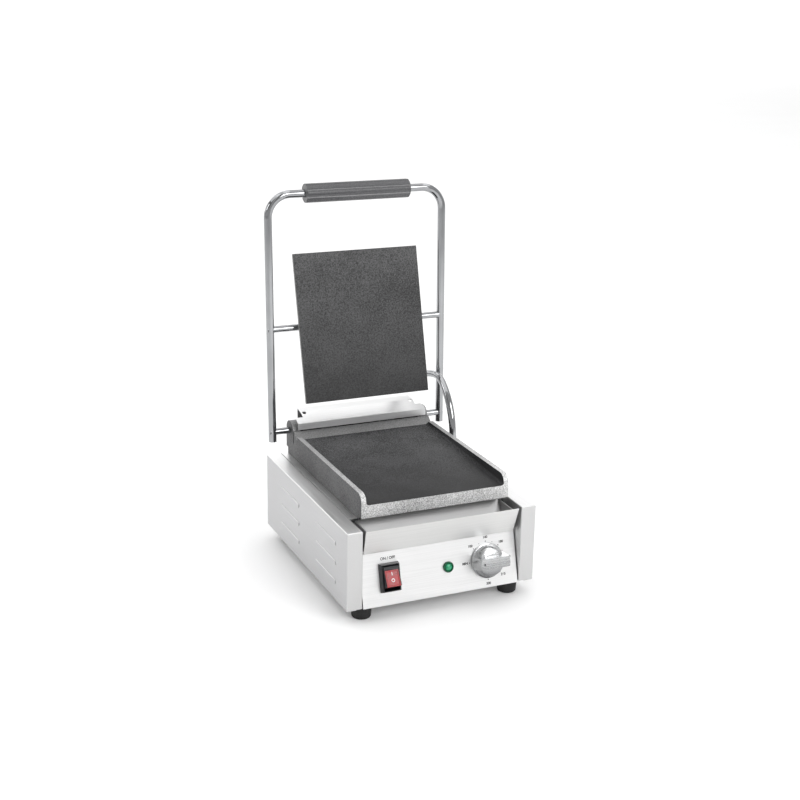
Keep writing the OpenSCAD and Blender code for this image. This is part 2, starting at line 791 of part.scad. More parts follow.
module pivot_collars() {
    color("#333333") seat()
        translate([0, hinge_y + pivot_len * sin(arm_lean), hinge_z + pivot_len * cos(arm_lean)])
            mirrored() translate([lid_half + gap, 0, 0]) difference() {
                rod_x(rod_d / 2 + 2.5, 6);
                translate([-1, 0, 0]) rod_x(rod_d / 2 + fix_fit, 8);
            }
}

low_edge = -upper_len / 2 - pivot_up;

// The upper casting: a flat face, a thin square edge and sides that taper back.
module upper_plate() {
    color("#3c3c3c") on_upper() translate([0, -pivot_back, low_edge]) {
        difference() {
            union() {
                translate([-upper_half, 0, 0]) cube([upper_w, upper_edge, upper_len]);
                translate([-lid_half, upper_edge - 0.1, cover_in])
                    cube([2 * lid_half, upper_t - upper_edge + 0.1, upper_len - 2 * cover_in]);
            }
            translate([-lid_half + 22, 7.5, cover_in + 20])
                cube([2 * lid_half - 44, 10, upper_len - 2 * cover_in - 40]);
        }
    }
}

block_z = 20;

module pivot_blocks() {
    color("#4a4a4a") on_upper() mirrored() difference() {
        translate([pin_in, upper_t - pivot_back, -block_z / 2]) cube([block_t, 17, block_z]);
        translate([pin_in - 1, 0, 0]) rod_x(rod_d / 2 + run_fit, block_t + 2);
    }
}

module upper_element() {
    color("dimgray") on_upper()
        translate([0, 7.5 - pivot_back + element_r + gap, low_edge + cover_in + 42])
            rotate([90, 0, 0]) mirror([0, 0, 1]) mirror([0, 1, 0]) rotate([180, 0, 0])
                element(51, upper_len - 2 * cover_in - 84, 34);
}

module upper_clamp() {
    color("silver") on_upper()
        translate([0, 7.5 - pivot_back + 2 * element_r + 2 * gap, 0])
            for (z = [low_edge + cover_in + 50, low_edge + upper_len - cover_in - 64])
                translate([-60, 0, z]) cube([120, 2, 14]);
}

// The folded cover on the back of the upper plate.
module upper_cover() {
    color("silver") on_upper() translate([-lid_half, upper_t - pivot_back, low_edge + cover_in]) {
        h = cover_top - upper_t;
        len_c = upper_len - 2 * cover_in;
        difference() {
            round_box(2 * lid_half, h, len_c, fold_r);
            translate([sheet_t, -fold_r - 1, sheet_t])
                round_box(2 * lid_half - 2 * sheet_t, h + fold_r + 1 - sheet_t,
                    len_c - 2 * sheet_t, max(0.3, fold_r - sheet_t));
            translate([-1, pivot_back - upper_t, -low_edge - cover_in])
                rod_x(rod_d / 2 + 0.6, 2 * lid_half + 2);
            translate([lid_half + exit_x, h - 5, exit_along - low_edge - cover_in])
                rod_y(conduit_r + gap, 10);
        }
    }
}

module upper_screws() {
    color("silver") on_upper() mirrored()
        for (z = [low_edge + cover_in + 50, low_edge + upper_len - cover_in - 50])
            translate([50, cover_top - pivot_back, z]) rod_y(4, 2);
}

// Points of a smooth curve through a list of route points.
function curve_at(p, i, t) = let (
    a = p[max(i - 1, 0)], b = p[i], c = p[i + 1], d = p[min(i + 2, len(p) - 1)])
    0.5 * (2 * b + (c - a) * t + (2 * a - 5 * b + 4 * c - d) * t * t
    + (3 * b - a - 3 * c + d) * t * t * t);
function curve(p, n) = concat(
    [for (i = [0:len(p) - 2], k = [0:n - 1]) curve_at(p, i, k / n)], [p[len(p) - 1]]);
function unit(v) = v / norm(v);

// A round tube swept along a list of points, as one closed surface. Its rings
// are squared to the route with a side vector that isn't along it anywhere.
module swept_tube(pts, r, side, first, last) {
    sides = 12;
    n = len(pts);
    dir = [for (i = [0:n - 1]) i == 0 ? first : i == n - 1 ? last
        : unit(pts[i + 1] - pts[i - 1])];
    rings = [for (i = [0:n - 1]) let (
        u = unit(cross(dir[i], side)), v = cross(dir[i], u))
        for (k = [0:sides - 1]) let (a = k * 360 / sides)
            pts[i] + r * (cos(a) * u + sin(a) * v)];
    faces = concat(
        [[for (k = [0:sides - 1]) k]],
        [[for (k = [0:sides - 1]) (n - 1) * sides + sides - 1 - k]],
        [for (i = [0:n - 2], k = [0:sides - 1]) let (m = (k + 1) % sides)
            [i * sides + k, (i + 1) * sides + k, (i + 1) * sides + m, i * sides + m]]);
    polyhedron(points = rings, faces = faces, convexity = 6);
}

module conduit_upper() {
    color("gainsboro") seat() swept_tube(curve(route_top, 5), conduit_r, [0.1, 0.2, 1],
        exit_dir, join_dir);
}

module conduit_lower() {
    color("gainsboro") seat() swept_tube(curve(route_low, 4), conduit_r, [1, 0.25, 0],
        join_dir, [0, 0, -1]);
}

module conduit_gland_lid() {
    color("gainsboro") on_upper()
        translate([exit_x, cover_top - pivot_back, exit_along]) difference() {
            rotate([-90, 0, 0]) cylinder(r = 9, h = 6, $fn = 6);
            translate([0, -1, 0]) rod_y(conduit_r + gap, 8);
        }
}

module conduit_gland_base() {
    color("gainsboro") seat() translate([gland_x, gland_y, deck_z]) difference() {
        cylinder(r = conduit_r + 1.6, h = 8);
        translate([0, 0, -1]) cylinder(r = conduit_r + gap, h = 10);
    }
}

left_side_panel();
right_side_panel();
base_pan();
top_deck();
rear_panel();
control_panel();
tray_shelf();
feet();
foot_screws();
rear_screws();
cable_gland();
terminal_block();
switch_housing();
rocker();
rocker_lens();
lamp_bezel();
lamp_lens();
thermostat();
thermostat_bulb();
spindle();
knob();
drip_tray();
lower_plate();
lower_element();
lower_clamp();
hinge_cover();
cover_screws();
hinge_rod();
torsion_springs();
lid_frame();
handle_grip();
pivot_pins();
pivot_collars();
upper_plate();
pivot_blocks();
upper_element();
upper_clamp();
upper_cover();
upper_screws();
conduit_upper();
conduit_lower();
conduit_gland_lid();
conduit_gland_base();
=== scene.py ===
import json
import math

import bpy
from mathutils import Matrix, Vector


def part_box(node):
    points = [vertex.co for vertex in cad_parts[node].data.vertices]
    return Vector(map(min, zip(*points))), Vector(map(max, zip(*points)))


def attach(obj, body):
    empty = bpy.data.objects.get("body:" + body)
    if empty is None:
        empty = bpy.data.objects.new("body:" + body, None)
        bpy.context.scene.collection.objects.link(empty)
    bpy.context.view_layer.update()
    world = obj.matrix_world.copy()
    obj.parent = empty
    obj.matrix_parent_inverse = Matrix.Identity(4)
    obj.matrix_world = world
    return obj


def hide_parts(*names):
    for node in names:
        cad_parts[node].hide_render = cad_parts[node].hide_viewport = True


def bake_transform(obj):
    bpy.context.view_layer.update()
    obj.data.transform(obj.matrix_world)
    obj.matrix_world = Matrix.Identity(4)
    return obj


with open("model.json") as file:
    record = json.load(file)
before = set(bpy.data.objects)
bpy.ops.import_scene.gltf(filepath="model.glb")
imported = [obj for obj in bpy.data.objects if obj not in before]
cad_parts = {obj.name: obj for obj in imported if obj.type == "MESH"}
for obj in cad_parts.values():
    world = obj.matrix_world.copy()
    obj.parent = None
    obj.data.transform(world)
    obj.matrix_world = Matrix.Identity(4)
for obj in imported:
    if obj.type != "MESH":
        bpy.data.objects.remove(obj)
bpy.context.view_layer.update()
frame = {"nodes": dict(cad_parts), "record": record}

nodes = frame["nodes"]
mm = 0.001

# The grill's own planes, read from its parts.
_, front, base_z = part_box("left_side_panel")[0]


# ---------------------------------------------------------------- camera

def place_camera():
    """A short telephoto from the left, a little above the grill."""
    around, above, roll = math.radians(-24.23), math.radians(17.73), math.radians(1.09)
    back = Vector((math.sin(around) * math.cos(above),
                   -math.cos(around) * math.cos(above), math.sin(above)))
    right = Vector((0, 0, 1)).cross(back).normalized()
    up = back.cross(right)
    turned_right = math.cos(roll) * right + math.sin(roll) * up
    turned_up = -math.sin(roll) * right + math.cos(roll) * up
    bpy.ops.object.camera_add(location=(0, 0, 0))
    camera = bpy.context.object
    camera.name = "camera"
    turn = Matrix((turned_right, turned_up, back)).transposed().to_4x4()
    place = Vector((-0.7933, -1.6047 + front, 0.8806))
    camera.matrix_world = Matrix.Translation(place) @ turn
    camera.data.sensor_width = 36
    camera.data.lens = 62.73
    camera.data.clip_end = 50
    bpy.context.scene.camera = camera


place_camera()


# ---------------------------------------------------------------- shaping

def clear_selection():
    if bpy.context.mode != "OBJECT":
        bpy.ops.object.mode_set(mode="OBJECT")
    bpy.ops.object.select_all(action="DESELECT")


def only(piece):
    clear_selection()
    piece.select_set(True)
    bpy.context.view_layer.objects.active = piece


def settle(piece):
    """Puts the piece's place, turn and size into its mesh."""
    only(piece)
    bpy.ops.object.transform_apply(location=True, rotation=True, scale=True)
    return piece


def block(low, high):
    """A box between two corners."""
    clear_selection()
    low, high = Vector(low), Vector(high)
    bpy.ops.mesh.primitive_cube_add(size=1, location=(low + high) / 2)
    piece = bpy.context.object
    piece.scale = high - low
    return settle(piece)


def bar(start, end, radius, sides=48):
    """A round bar between two points."""
    clear_selection()
    start, end = Vector(start), Vector(end)
    run = end - start
    bpy.ops.mesh.primitive_cylinder_add(vertices=sides, radius=radius, depth=run.length,
                                        location=(start + end) / 2)
    piece = bpy.context.object
    piece.rotation_euler = run.to_track_quat("Z", "Y").to_euler()
    return settle(piece)


def turn_about(piece, angle, axis, centre):
    """Turns the piece by degrees about an axis through a point."""
    centre = Vector(centre)
    piece.matrix_world = (Matrix.Translation(centre)
                          @ Matrix.Rotation(math.radians(angle), 4, axis)
                          @ Matrix.Translation(-centre) @ piece.matrix_world)
    return settle(piece)


def apply_modifier(piece, kind, **settings):
    only(piece)
    modifier = piece.modifiers.new(kind.lower(), kind)
    for key, value in settings.items():
        setattr(modifier, key, value)
    bpy.ops.object.modifier_apply(modifier=modifier.name)
    return piece


def cut(piece, tool):
    apply_modifier(piece, "BOOLEAN", operation="DIFFERENCE", solver="EXACT", object=tool)
    bpy.data.objects.remove(tool)
    return piece


def merge(piece, other):
    apply_modifier(piece, "BOOLEAN", operation="UNION", solver="EXACT", object=other)
    bpy.data.objects.remove(other)
    return piece


def join(pieces):
    clear_selection()
    for piece in pieces:
        piece.select_set(True)
    bpy.context.view_layer.objects.active = pieces[0]
    bpy.ops.object.join()
    return pieces[0]


def round_edges(piece, width, steps=3, angle=30):
    return apply_modifier(piece, "BEVEL", width=width, segments=steps, limit_method="ANGLE",
                          angle_limit=math.radians(angle), use_clamp_overlap=True)


def bevel_where(piece, wanted, width, steps):
    """Rounds only the edges whose two ends pass the test."""
    only(piece)
    bpy.ops.object.mode_set(mode="EDIT")
    bpy.ops.mesh.select_mode(type="EDGE")
    bpy.ops.mesh.select_all(action="DESELECT")
    bpy.ops.object.mode_set(mode="OBJECT")
    for edge in piece.data.edges:
        edge.select = wanted(*[piece.data.vertices[i].co for i in edge.vertices])
    bpy.ops.object.mode_set(mode="EDIT")
    bpy.ops.mesh.bevel(offset=width, segments=steps, affect="EDGES")
    bpy.ops.object.mode_set(mode="OBJECT")
    return piece


def select_faces(piece, wanted):
    """Opens the piece for editing with the faces that pass the test selected."""
    only(piece)
    bpy.ops.object.mode_set(mode="EDIT")
    bpy.ops.mesh.select_mode(type="FACE")
    bpy.ops.mesh.select_all(action="DESELECT")
    bpy.ops.object.mode_set(mode="OBJECT")
    for face in piece.data.polygons:
        face.select = bool(wanted(face.center, face.normal))
    bpy.ops.object.mode_set(mode="EDIT")


def shade(piece, angle=35):
    only(piece)
    bpy.ops.object.shade_smooth_by_angle(angle=math.radians(angle))
    apply_modifier(piece, "WEIGHTED_NORMAL", keep_sharp=True, weight=80)
    return piece


def hand_over(piece, name, body, finish, slot, *stands_for):
    """Names the finished piece, gives it its finish and its body."""
    piece.name = name
    piece.data.name = name
    piece.data.materials.clear()
    for one in finish if isinstance(finish, (list, tuple)) else [finish]:
        piece.data.materials.append(one)
    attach(piece, body)
    if stands_for:
        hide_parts(*stands_for)
    return piece


# ---------------------------------------------------------------- finishes

def colour(code):
    """An sRGB hex code as linear red, green, blue and alpha."""
    parts = [int(code[i:i + 2], 16) / 255 for i in (1, 3, 5)]
    return [p / 12.92 if p <= 0.04045 else ((p + 0.055) / 1.055) ** 2.4 for p in parts] + [1]


def add(tree, kind, feeds=None, **settings):
    """Adds a node with its settings; feeds maps inputs to values or to other nodes' outputs."""
    made = tree.nodes.new(kind)
    for key, value in settings.items():
        setattr(made, key, value)
    for key, value in (feeds or {}).items():
        if isinstance(value, bpy.types.NodeSocket):
            tree.links.new(value, made.inputs[key])
        else:
            made.inputs[key].default_value = value
    return made


def start_finish(name, **sockets):
    made = bpy.data.materials.new(name)
    made.use_nodes = True
    tree = made.node_tree
    shader = tree.nodes["Principled BSDF"]
    for key, value in sockets.items():
        shader.inputs[key.replace("_", " ")].default_value = value
    place = add(tree, "ShaderNodeTexCoord").outputs["Object"]
    return made, tree, shader, place


def brushed_sheet(name, tone, along, rough=0.34, relief=0.1, lower=None):
    """Metal with a fine brushed grain along one axis. The real grain is about 0.1 mm apart;
    it is drawn 0.8 mm apart so that it shows. lower is painted shade: a darker tone for its
    underside and the two heights between which it fades to that tone."""
    made, tree, shader, place = start_finish(name, Metallic=1.0)
    scale = [1250.0, 1250.0, 1250.0]
    scale[along] = 12.0
    stretched = add(tree, "ShaderNodeMapping", {"Vector": place, "Scale": scale})
    grain = add(tree, "ShaderNodeTexNoise",
                {"Vector": stretched.outputs[0], "Scale": 1.0, "Detail": 3.0})
    broad = add(tree, "ShaderNodeTexNoise", {"Vector": place, "Scale": 9.0, "Detail": 2.0})
    tint = add(tree, "ShaderNodeMix", {"Factor": grain.outputs["Fac"]}, data_type="RGBA")
    base = colour(tone)[:3]
    tint.inputs["A"].default_value = [c * 0.86 for c in base] + [1]
    tint.inputs["B"].default_value = [min(1, c * 1.08) for c in base] + [1]
    # Painted shade: below the given heights the tone fades to the darker one.
    if lower:
        under, foot, top = lower
        split = add(tree, "ShaderNodeSeparateXYZ", {0: place})
        rise = add(tree, "ShaderNodeMapRange", {"Value": split.outputs["Z"], "From Min": foot,
                                                "From Max": top})
        painted_shading = add(tree, "ShaderNodeMix", {"Factor": rise.outputs[0], "A": colour(under),
                                           "B": tint.outputs["Result"]}, data_type="RGBA")
        tint = painted_shading
    tree.links.new(tint.outputs["Result"], shader.inputs["Base Color"])
    sheen = add(tree, "ShaderNodeMapRange", {"Value": grain.outputs["Fac"],
                "From Min": 0.3, "From Max": 0.7, "To Min": rough - 0.05, "To Max": rough + 0.07})
    cloudy = add(tree, "ShaderNodeMath", {0: broad.outputs["Fac"], 1: 0.08}, operation="MULTIPLY")
    both = add(tree, "ShaderNodeMath", {0: sheen.outputs[0], 1: cloudy.outputs[0]}, operation="ADD")
    tree.links.new(both.outputs[0], shader.inputs["Roughness"])
    bump = add(tree, "ShaderNodeBump", {"Height": grain.outputs["Fac"], "Strength": relief,
                                        "Distance": 0.0001})
    tree.links.new(bump.outputs[0], shader.inputs["Normal"])
    return made


def grained(name, tone, dark_tone, rough, grit_mm, depth_mm, metallic=0.0, strength=0.6,
            spread=0.17, painted_shading=None):
    """A surface with an even grit, of the given size and depth, and slow changes of tone.
    A smaller spread gives the grit more contrast. The last argument is an axis and the two places,
    in metres, between which painted light and shade draw the surface from dark to its full tone."""
    made, tree, shader, place = start_finish(name, Metallic=metallic)
    grit = add(tree, "ShaderNodeTexNoise",
               {"Vector": place, "Scale": 1000.0 / grit_mm, "Detail": 2.0, "Roughness": 0.6})
    broad = add(tree, "ShaderNodeTexNoise", {"Vector": place, "Scale": 14.0, "Detail": 3.0})
    blend = add(tree, "ShaderNodeMath", {0: broad.outputs["Fac"], 1: 0.35,
                                         2: grit.outputs["Fac"]}, operation="MULTIPLY_ADD")
    ramp = add(tree, "ShaderNodeMapRange", {"Value": blend.outputs[0],
                                            "From Min": 0.675 - spread,
                                            "From Max": 0.675 + spread})
    # Painted light and shade: the grit is drawn darker towards one end of the axis.
    if painted_shading:
        axis, full, none = painted_shading
        split = add(tree, "ShaderNodeSeparateXYZ", {0: place})
        painted_shade_weight = add(tree, "ShaderNodeMapRange", {"Value": split.outputs[axis], "From Min": full,
                                               "From Max": none, "To Min": 0.1, "To Max": 1.0})
        ramp = add(tree, "ShaderNodeMath", {0: ramp.outputs[0], 1: painted_shade_weight.outputs[0]},
                   operation="MULTIPLY")
    tint = add(tree, "ShaderNodeMix", {"Factor": ramp.outputs[0], "A": colour(dark_tone),
                                       "B": colour(tone)}, data_type="RGBA")
    tree.links.new(tint.outputs["Result"], shader.inputs["Base Color"])
    sheen = add(tree, "ShaderNodeMapRange", {"Value": grit.outputs["Fac"], "From Min": 0.3,
                "From Max": 0.7, "To Min": rough - 0.07, "To Max": rough + 0.07})
    tree.links.new(sheen.outputs[0], shader.inputs["Roughness"])
    bump = add(tree, "ShaderNodeBump", {"Height": grit.outputs["Fac"], "Strength": strength,
                                        "Distance": depth_mm * mm})
    tree.links.new(bump.outputs[0], shader.inputs["Normal"])
    return made


# Stainless sheet, brushed: light and even, with a soft sheen across the grain.
steel_front = brushed_sheet("brushed_stainless_along_x", "#ececec", 0, relief=0.04)
steel_side = brushed_sheet("brushed_stainless_along_y", "#e8e8e8", 1, 0.38)
steel_fold = brushed_sheet("brushed_stainless_fold", "#d0d0d0", 1, 0.4)
# The outer sides, with a coarser, duller brushing, and a darker tone that is painted shade.
steel_flank = brushed_sheet("dull_brushed_stainless_painted_shade", "#c9c9ca", 1, 0.4)
steel_bright = brushed_sheet("bright_brushed_stainless", "#ececec", 0, 0.32, relief=0.04)
# Bare mild steel, zinc plated, for screws and springs.
zinc = grained("zinc_plated_steel", "#c2c4c4", "#a4a6a6", 0.32, 1.5, 0.02, metallic=1.0)
# Cast iron, machined and seasoned: almost black, matte, with a fine even grit. A painted
# reflection leaves it darker at the front and lighter towards the back.
seasoned = grained("seasoned_cast_iron", "#58585a", "#080809", 0.66, 1.8, 0.14, spread=0.1,
                   painted_shading=("Y", front, front + 0.27))
# Cast iron of the lid plate, machined and blackened, a little lighter. A painted reflection
# leaves it darker low down and lighter higher up.
lid_iron = grained("blackened_cast_iron", "#646465", "#0b0b0c", 0.62, 1.9, 0.14, spread=0.16,
                   painted_shading=("Z", 0.16, 0.47))
# Cast iron as sand cast under a silver-grey heat paint: coarse and granular. Painted light
# leaves it lighter towards the front and darker towards the back.
cast_skin = grained("sand_cast_iron_grey", "#f4f4f4", "#707070", 0.42, 1.5, 0.4, metallic=0.45,
                    strength=1.0, spread=0.24, painted_shading=("Y", front + 0.33, front + 0.03))
# The same casting, drawn darker on its outer sides and under its lip: painted shade.
cast_flank = grained("cast_iron_painted_shade", "#5c5c5d", "#18181a", 0.45, 1.9, 0.4,
                     metallic=0.3, strength=1.0, spread=0.12)
# Chromed steel tube: mirror bright with faint smears.
chrome = grained("chromed_steel", "#a9aaac", "#9c9d9f", 0.07, 60.0, 0.0, metallic=1.0, strength=0.0)
# Steel tube of a heating element, darkened by heat.
heat_steel = grained("heat_darkened_steel", "#5b5650", "#3a3632", 0.5, 2.0, 0.03, metallic=1.0)
# Blackened steel collars.
black_steel = grained("blackened_steel", "#2c2c2d", "#1c1c1d", 0.45, 1.5, 0.03)
# Moulded rubber, dull.
rubber = grained("moulded_rubber", "#1d1d1d", "#121212", 0.72, 1.2, 0.05)
# Moulded black ABS with a fine spark-eroded grain.
black_abs = grained("moulded_black_abs", "#26262a", "#18181b", 0.42, 1.2, 0.03)
# Glazed white steatite of the terminal block and the thermostat.
steatite = grained("steatite", "#e2ddcf", "#cfc9b8", 0.5, 1.5, 0.02)
# Red polycarbonate lens of the rocker, glossy.
red_pc = grained("red_polycarbonate", "#a80a18", "#86070f", 0.34, 8.0, 0.0, strength=0.0)
# Green polycarbonate of the lamp.
green_pc = grained("green_polycarbonate", "#35a878", "#1f7d55", 0.15, 3.0, 0.0, strength=0.0)
green_rim = grained("dark_green_polycarbonate", "#0f5a3a", "#0a3f29", 0.25, 4.0, 0.0, strength=0.0)
# Copper of the thermostat's bulb.
copper = grained("drawn_copper", "#c98a63", "#a96d49", 0.3, 3.0, 0.01, metallic=1.0)
# Satin aluminium of the knob, with painted shade drawing it darker towards its underside.
knob_metal = brushed_sheet("satin_aluminium_painted_shade_below", "#e0e1e2", 0, 0.22,
                           lower=("#3c3d3f", 0.03, 0.078))

# Lighter iron along the rounded inner top edges of the casting's walls: a painted highlight.
edge_highlight_iron = grained("cast_iron_painted_edge_highlight", "#8f9091", "#66686a", 0.38, 1.6, 0.05, metallic=0.8)
# Stainless sheet of the tray, less brushed and a little mirror-like.
steel_tray = brushed_sheet("bright_stainless_tray", "#dcdcdb", 0, 0.3, relief=0.03)
steel_trough = brushed_sheet("dull_stainless_trough", "#c8c8c8", 0, 0.42)
# Hard moulded phenolic of the grip, satin.
grip_plastic = grained("moulded_phenolic", "#606062", "#4c4c4e", 0.2, 1.4, 0.0)
# Printing inks on the panel and the rocker.
ink = grained("black_screen_ink", "#2b2b2b", "#1f1f1f", 0.55, 2.0, 0.0, strength=0.0)
white_ink = grained("white_pad_ink", "#f2f2f2", "#dedede", 0.5, 2.0, 0.0, strength=0.0)

FINISH_OF = {
    "stainless_sheet": steel_front, "black_rubber": rubber, "screw_steel": zinc,
    "black_plastic": black_abs, "pale_plastic": steatite, "red_plastic": red_pc,
    "green_plastic": green_pc, "copper_bulb": copper, "knob_metal": knob_metal,
    "cast_iron": seasoned, "element_steel": heat_steel, "chrome_tube": chrome,
    "dark_steel": black_steel}
OTHER_FINISH = {"left_side_panel": steel_side, "right_side_panel": steel_side,
                "hinge_cover": steel_bright, "upper_plate": lid_iron, "lamp_bezel": green_rim,
                "pivot_blocks": lid_iron}

for part in frame["record"]["subparts"]:
    name = part["node"]
    node = nodes[name]
    node.data.materials.clear()
    node.data.materials.append(OTHER_FINISH.get(name, FINISH_OF[part["material_slot"]]))


# ---------------------------------------------------------------- places

def at(x, y, z):
    """A point in millimetres: from the middle, from the front plane and from the floor."""
    return Vector((x * mm, front + y * mm, z * mm))


hinge_y, hinge_z = 318, 179
wall_x = 113.4
pivot = at(0, 323.61, 339.6)
hinge = at(0, hinge_y, hinge_z)
panel_lean = math.radians(14.6)
plate_lean = math.radians(14.8)
arm_lean = math.radians(2.0)


def on_panel(piece, x, up):
    """Stands a piece modelled face up on the sloping panel; up is measured along the slope."""
    foot = at(x, up * math.sin(panel_lean), base_z / mm + up * math.cos(panel_lean))
    across = Vector((1, 0, 0))
    slope = Vector((0, math.sin(panel_lean), math.cos(panel_lean)))
    turn = Matrix((across, slope, across.cross(slope))).transposed().to_4x4()
    piece.matrix_world = Matrix.Translation(foot) @ turn @ piece.matrix_world
    return settle(piece)


def on_lid_plate(piece):
    """Moves a piece modelled about the pivot, upright, to the plate's open lean."""
    piece.matrix_world = (Matrix.Translation(pivot) @ Matrix.Rotation(-plate_lean, 4, "X")
                          @ piece.matrix_world)
    return settle(piece)


def on_arms(piece):
    """Moves a piece modelled about the hinge, upright, to the arms' open lean."""
    piece.matrix_world = (Matrix.Translation(hinge) @ Matrix.Rotation(-arm_lean, 4, "X")
                          @ piece.matrix_world)
    return settle(piece)


def mmv(x, y, z):
    return Vector((x * mm, y * mm, z * mm))


def turned(profile, steps=64):
    """A closed turned part: the profile, radius and height in millimetres, spun about Z."""
    clear_selection()
    bpy.ops.mesh.primitive_plane_add(size=1, location=(0, 0, 0))
    piece = bpy.context.object
    bpy.ops.object.mode_set(mode="EDIT")
    bpy.ops.mesh.select_mode(type="VERT")
    bpy.ops.mesh.select_all(action="SELECT")
    bpy.ops.mesh.merge(type="CENTER")
    here = None
    for radius, height in profile:
        goal = mmv(radius, 0, height)
        if here is None:
            bpy.ops.transform.translate(value=goal)
        else:
            bpy.ops.mesh.extrude_region_move(TRANSFORM_OT_translate={"value": goal - here})
        here = goal
    bpy.ops.mesh.select_all(action="SELECT")
    bpy.ops.mesh.spin(steps=steps, angle=2 * math.pi, center=(0, 0, 0), axis=(0, 0, 1))
    bpy.ops.mesh.select_all(action="SELECT")
    bpy.ops.mesh.remove_doubles(threshold=0.000005)
    bpy.ops.mesh.normals_make_consistent(inside=False)
    bpy.ops.object.mode_set(mode="OBJECT")
    return piece


# ---------------------------------------------------------------- lower plate

def lower_casting():
    """The lower plate with its rounded lip, thick side walls, rear slope and hinge ears."""
    piece = block(at(-wall_x, 27.4, 143), at(wall_x, 299.4, 177.5))
    merge(piece, block(at(-wall_x, 286.5, 150), at(wall_x, 299.4, 183.9)))
    # Rounded front tips of the two side walls.
    corner = at(0, 27.4, 177.5)
    bevel_where(piece, lambda a, b: all(abs(v.y - corner.y) < mm and abs(v.z - corner.z) < mm
                                        for v in (a, b)), 13 * mm, 8)
    # The hollow above the cooking surface, with a fillet along each wall.
    hollow = block(at(-106.2, 12, 162), at(106.2, 287.4, 205))
    floor_z = 162 * mm
    bevel_where(hollow, lambda a, b: abs(a.x - b.x) < 0.1 * mm
                and all(abs(v.z - floor_z) < 0.1 * mm for v in (a, b)), 4 * mm, 5)
    turn_about(hollow, 2.2, "X", at(0, 27.4, 162))
    cut(piece, hollow)
    # The rough slope behind the surface.
    slope = block(at(-130, 267, 172), at(130, 287, 215))
    turn_about(slope, -52, "X", at(0, 287, 172))
    cut(piece, slope)
    merge(piece, block(at(-111, 41.4, 136.6), at(111, 333, 150)))
    merge(piece, block(at(-wall_x, 290, 149), at(wall_x, 333, 162.5)))
    for side in (-1, 1):
        inner, outer = sorted((side * 101.4, side * wall_x))
        merge(piece, bar(at(inner, hinge_y, hinge_z), at(outer, hinge_y, hinge_z), 15 * mm, 64))
        merge(piece, block(at(inner, 303, 150), at(outer, 333, hinge_z)))
    cut(piece, bar(at(-120, hinge_y, hinge_z), at(120, hinge_y, hinge_z), 5.05 * mm, 48))
    round_edges(piece, 1.5 * mm, 3, 38)
    shade(piece, 40)
    hand_over(piece, "lower_casting", "base", [cast_skin, seasoned, edge_highlight_iron, cast_flank],
              "cast_iron", "lower_plate")
    low_y, high_y = at(0, 28.5, 0).y, at(0, 289, 0).y
    for face in piece.data.polygons:
        c, n = face.center, face.normal
        inside = abs(c.x) < 106.6 * mm and low_y < c.y < high_y and c.z > 160.5 * mm
        # Painted highlight along the rounded inner top edges of the walls.
        ledge = 106.0 * mm < abs(c.x) < 107.9 * mm and c.z > 176 * mm and low_y < c.y < high_y
        # Painted shade: the outer sides and the skirt below the lip take the dark finish.
        flank = abs(n.x) > 0.5 and abs(c.x) > 107 * mm and c.y > low_y or c.z < 142.5 * mm
        face.material_index = 2 if ledge else 1 if inside else 3 if flank else 0


# ---------------------------------------------------------------- lid plate

def lid_casting():
    """The upper plate: a thin square rim round its face and a narrower raised back."""
    piece = block(mmv(-101.5, -19, -116), mmv(101.5, -14, 110))
    merge(piece, block(mmv(-87.5, -14.5, -102), mmv(87.5, -7, 96)))
    cut(piece, block(mmv(-65.5, -11.5, -82), mmv(65.5, 0, 76)))
    round_edges(piece, 0.7 * mm, 2, 40)
    shade(on_lid_plate(piece), 40)
    hand_over(piece, "lid_casting", "grill_plate", [lid_iron, cast_skin], "cast_iron",
              "upper_plate")
    facing = Vector((0, -math.cos(plate_lean), math.sin(plate_lean)))
    for face in piece.data.polygons:
        face.material_index = 0 if face.normal.dot(facing) > 0.6 else 1


# ---------------------------------------------------------------- knob

def dial_knob():
    """A satin metal knob: thin bright skirt, domed body and a wide bar grip."""
    body = turned([(0.0, 1.0), (24.2, 1.0), (25.0, 1.7), (25.0, 3.6), (24.4, 4.2), (23.6, 4.4),
                   (23.2, 5.4), (22.4, 9.5), (21.2, 13.0), (19.0, 16.6), (15.0, 18.6),
                   (0.0, 19.2)])
    grip = block(mmv(-24.5, -10.0, 3), mmv(24.5, 10.0, 29))
    only(grip)
    bpy.ops.object.mode_set(mode="EDIT")
    bpy.ops.mesh.select_mode(type="FACE")
    bpy.ops.mesh.select_all(action="DESELECT")
    bpy.ops.object.mode_set(mode="OBJECT")
    for face in grip.data.polygons:
        face.select = face.normal.z > 0.9
    bpy.ops.object.mode_set(mode="EDIT")
    bpy.ops.transform.resize(value=(0.94, 0.74, 1.0))
    bpy.ops.object.mode_set(mode="OBJECT")
    limit = turned([(0.0, 0.0), (24.8, 0.0), (24.8, 12.0), (24.2, 24.0), (22.8, 29.5),
                    (0.0, 29.5)], 96)
    apply_modifier(grip, "BOOLEAN", operation="INTERSECT", solver="EXACT", object=limit)
    bpy.data.objects.remove(limit)
    round_edges(grip, 0.9 * mm, 3, 35)
    merge(body, grip)
    mark = bar(mmv(-17.2, 0, 28.3), mmv(-17.2, 0, 29.6), 1.5 * mm, 32)
    cut(body, mark)
    shade(body, 32)
    hand_over(on_panel(body, 74, 39), "dial_knob", "dial", knob_metal, "knob_metal", "knob")
    ring = turned([(1.5, 28.3), (0.7, 28.3), (0.7, 29.1), (1.5, 29.1)], 32)
    ring.matrix_world = Matrix.Translation(mmv(-17.2, 0, 0))
    settle(ring)
    hand_over(on_panel(shade(ring), 74, 39), "dial_pointer", "dial", black_abs, "knob_metal")


# ---------------------------------------------------------------- switch and lamp

